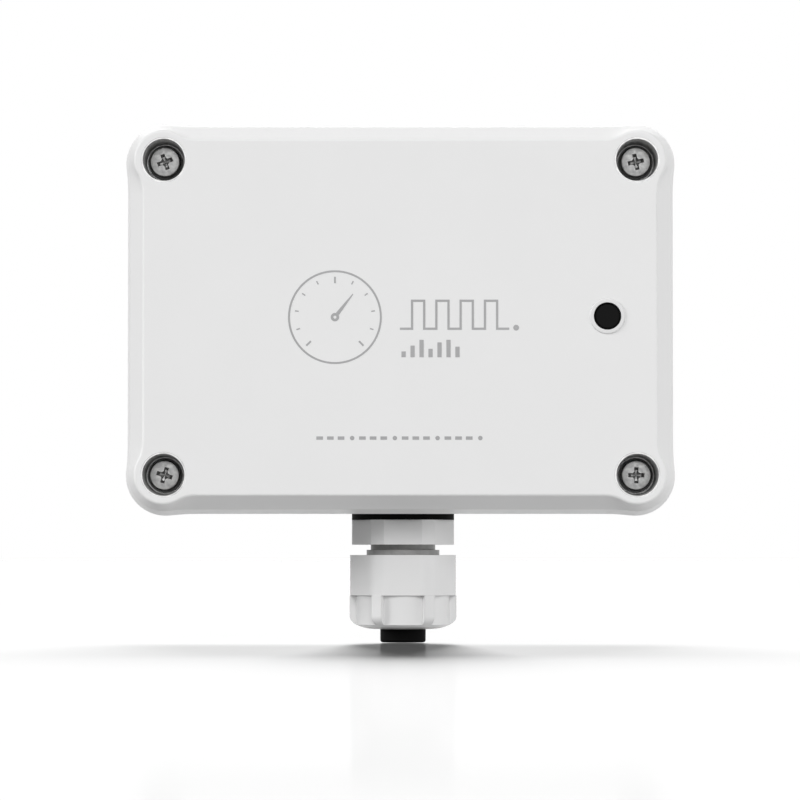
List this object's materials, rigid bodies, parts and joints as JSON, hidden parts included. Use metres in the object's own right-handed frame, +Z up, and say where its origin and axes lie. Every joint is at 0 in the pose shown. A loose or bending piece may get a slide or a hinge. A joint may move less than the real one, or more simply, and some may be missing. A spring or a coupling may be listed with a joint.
{
  "type": "utility meter pulse counter",
  "caption": "Sealed wall-mounted radio pulse counter for utility meters: screwed lid, push button, and a cable gland closed by a blanking plug.",
  "frame": {"origin": "middle of the back face, on the wall", "axes": "+Z up the wall, +X to the right seen from the front, the front of the case towards -Y"},
  "size_m": [0.105, 0.0402, 0.0994],
  "materials": {
    "case_plastic": "fine moulded texture, off-white",
    "gland_plastic": "satin moulded nylon, light grey",
    "bezel_plastic": "satin, light grey",
    "black_rubber": "matt black",
    "gasket_rubber": "foamed seal, dark grey",
    "button_plastic": "satin black",
    "screw_steel": "zinc-plated, slightly worn",
    "liner_steel": "dark drawn steel",
    "spring_steel": "drawn wire",
    "board_laminate": "green solder mask",
    "black_plastic": "moulded black",
    "cell_sleeve": "shrunk film, blue",
    "terminal_plastic": "moulded green",
    "tin_plate": "tinned sheet",
    "terminal_metal": "nickel-plated brass",
    "antenna_copper": "bare copper wire",
    "capacitor_sleeve": "shrunk film, dark",
    "chip_ceramic": "fired ceramic"
  },
  "bodies": {
    "case": {"enclosure_base": "case_plastic", "gland_body": "gland_plastic", "gland_washer": "black_rubber", "gland_locknut": "gland_plastic", "circuit_board": "board_laminate", "board_screws": "screw_steel", "battery_holder": "black_plastic", "battery_contacts": "spring_steel", "battery_springs": "spring_steel", "terminal_housing": "terminal_plastic", "terminal_pins": "tin_plate", "switch_body": "black_plastic", "switch_plate": "tin_plate", "radio_module": "board_laminate", "radio_shield": "tin_plate", "antenna_coil": "antenna_copper", "microcontroller": "black_plastic", "crystal_can": "tin_plate", "storage_capacitor": "capacitor_sleeve", "programming_header": "black_plastic", "chip_passives": "chip_ceramic"},
    "lid": {"enclosure_lid": "case_plastic", "lid_gasket": "gasket_rubber", "screw_well_liners": "liner_steel", "button_bezel": "bezel_plastic", "button_spring": "spring_steel"},
    "button": {"button_cap": "button_plastic", "button_seal": "black_rubber", "button_clip": "spring_steel"},
    "switch_plunger": {"switch_plunger": "black_plastic"},
    "gland_seal": {"gland_seal_insert": "black_rubber"},
    "gland_nut": {"gland_dome_nut": "gland_plastic"},
    "gland_plug": {"gland_blanking_plug": "black_rubber"},
    "screw_ring_1": {"screw_sealing_ring_1": "black_rubber"},
    "lid_screw_1": {"lid_screw_1": "screw_steel"},
    "screw_ring_2": {"screw_sealing_ring_2": "black_rubber"},
    "lid_screw_2": {"lid_screw_2": "screw_steel"},
    "screw_ring_3": {"screw_sealing_ring_3": "black_rubber"},
    "lid_screw_3": {"lid_screw_3": "screw_steel"},
    "screw_ring_4": {"screw_sealing_ring_4": "black_rubber"},
    "lid_screw_4": {"lid_screw_4": "screw_steel"},
    "battery_1": {"battery_cell_1": "cell_sleeve"},
    "battery_2": {"battery_cell_2": "cell_sleeve"},
    "terminal_screw_1": {"terminal_screw_1": "terminal_metal"},
    "terminal_cage_1": {"terminal_cage_1": "terminal_metal"},
    "terminal_screw_2": {"terminal_screw_2": "terminal_metal"},
    "terminal_cage_2": {"terminal_cage_2": "terminal_metal"},
    "terminal_screw_3": {"terminal_screw_3": "terminal_metal"},
    "terminal_cage_3": {"terminal_cage_3": "terminal_metal"},
    "terminal_screw_4": {"terminal_screw_4": "terminal_metal"},
    "terminal_cage_4": {"terminal_cage_4": "terminal_metal"}
  },
  "joints": [
    {"name": "lid_off", "type": "slide", "parent": "case", "child": "lid", "axis": [0, -1, 0], "range_m": [0, 0.06]},
    {"name": "screw_rise_1", "type": "slide", "parent": "lid", "child": "screw_ring_1", "axis": [0, -1, 0], "range_m": [0, 0.0105]},
    {"name": "screw_turn_1", "type": "hinge", "parent": "screw_ring_1", "child": "lid_screw_1", "pos_m": [0.04485, -0.035, 0.02985], "axis": [0, -1, 0], "range_deg": [0, 2521]},
    {"name": "screw_rise_2", "type": "slide", "parent": "lid", "child": "screw_ring_2", "axis": [0, -1, 0], "range_m": [0, 0.0105]},
    {"name": "screw_turn_2", "type": "hinge", "parent": "screw_ring_2", "child": "lid_screw_2", "pos_m": [-0.04485, -0.035, 0.02985], "axis": [0, -1, 0], "range_deg": [0, 2521]},
    {"name": "screw_rise_3", "type": "slide", "parent": "lid", "child": "screw_ring_3", "axis": [0, -1, 0], "range_m": [0, 0.0105]},
    {"name": "screw_turn_3", "type": "hinge", "parent": "screw_ring_3", "child": "lid_screw_3", "pos_m": [-0.04485, -0.035, -0.02985], "axis": [0, -1, 0], "range_deg": [0, 2521]},
    {"name": "screw_rise_4", "type": "slide", "parent": "lid", "child": "screw_ring_4", "axis": [0, -1, 0], "range_m": [0, 0.0105]},
    {"name": "screw_turn_4", "type": "hinge", "parent": "screw_ring_4", "child": "lid_screw_4", "pos_m": [0.04485, -0.035, -0.02985], "axis": [0, -1, 0], "range_deg": [0, 2521]},
    {"name": "button_press", "type": "slide", "parent": "lid", "child": "button", "axis": [0, 1, 0], "range_m": [0, 0.0004], "stiffness_N_per_m": 300, "springref_m": -0.002, "deforming": ["button_spring"]},
    {"name": "switch_press", "type": "slide", "parent": "case", "child": "switch_plunger", "axis": [0, 1, 0], "range_m": [0, 0.0004]},
    {"name": "gland_travel", "type": "slide", "parent": "case", "child": "gland_seal", "axis": [0, 0, -1], "range_m": [0, 0.0075]},
    {"name": "gland_turn", "type": "hinge", "parent": "gland_seal", "child": "gland_nut", "pos_m": [0.0005, -0.017, -0.05], "axis": [0, 0, -1], "range_deg": [0, 1801]},
    {"name": "plug_pull", "type": "slide", "parent": "gland_seal", "child": "gland_plug", "axis": [0, 0, -1], "range_m": [0, 0.014]},
    {"name": "battery_lift_1", "type": "slide", "parent": "case", "child": "battery_1", "axis": [0, -1, 0], "range_m": [0, 0.012]},
    {"name": "battery_lift_2", "type": "slide", "parent": "case", "child": "battery_2", "axis": [0, -1, 0], "range_m": [0, 0.012]},
    {"name": "terminal_turn_1", "type": "hinge", "parent": "case", "child": "terminal_screw_1", "pos_m": [-0.007, -0.018, -0.0193], "axis": [0, 1, 0], "range_deg": [0, 1297]},
    {"name": "cage_rise_1", "type": "slide", "parent": "case", "child": "terminal_cage_1", "axis": [0, -1, 0], "range_m": [0, 0.0018]},
    {"name": "terminal_turn_2", "type": "hinge", "parent": "case", "child": "terminal_screw_2", "pos_m": [-0.002, -0.018, -0.0193], "axis": [0, 1, 0], "range_deg": [0, 1297]},
    {"name": "cage_rise_2", "type": "slide", "parent": "case", "child": "terminal_cage_2", "axis": [0, -1, 0], "range_m": [0, 0.0018]},
    {"name": "terminal_turn_3", "type": "hinge", "parent": "case", "child": "terminal_screw_3", "pos_m": [0.003, -0.018, -0.0193], "axis": [0, 1, 0], "range_deg": [0, 1297]},
    {"name": "cage_rise_3", "type": "slide", "parent": "case", "child": "terminal_cage_3", "axis": [0, -1, 0], "range_m": [0, 0.0018]},
    {"name": "terminal_turn_4", "type": "hinge", "parent": "case", "child": "terminal_screw_4", "pos_m": [0.008, -0.018, -0.0193], "axis": [0, 1, 0], "range_deg": [0, 1297]},
    {"name": "cage_rise_4", "type": "slide", "parent": "case", "child": "terminal_cage_4", "axis": [0, -1, 0], "range_m": [0, 0.0018]}
  ],
  "couplings": [
    {"joint": "screw_turn_1", "follows": "screw_rise_1", "rad_per_m": 4188.8},
    {"joint": "screw_turn_2", "follows": "screw_rise_2", "rad_per_m": 4188.8},
    {"joint": "screw_turn_3", "follows": "screw_rise_3", "rad_per_m": 4188.8},
    {"joint": "screw_turn_4", "follows": "screw_rise_4", "rad_per_m": 4188.8},
    {"joint": "switch_press", "follows": "button_press", "ratio": 1},
    {"joint": "gland_turn", "follows": "gland_travel", "rad_per_m": 4188.8},
    {"joint": "terminal_turn_1", "follows": "cage_rise_1", "rad_per_m": 12566},
    {"joint": "terminal_turn_2", "follows": "cage_rise_2", "rad_per_m": 12566},
    {"joint": "terminal_turn_3", "follows": "cage_rise_3", "rad_per_m": 12566},
    {"joint": "terminal_turn_4", "follows": "cage_rise_4", "rad_per_m": 12566}
  ]
}
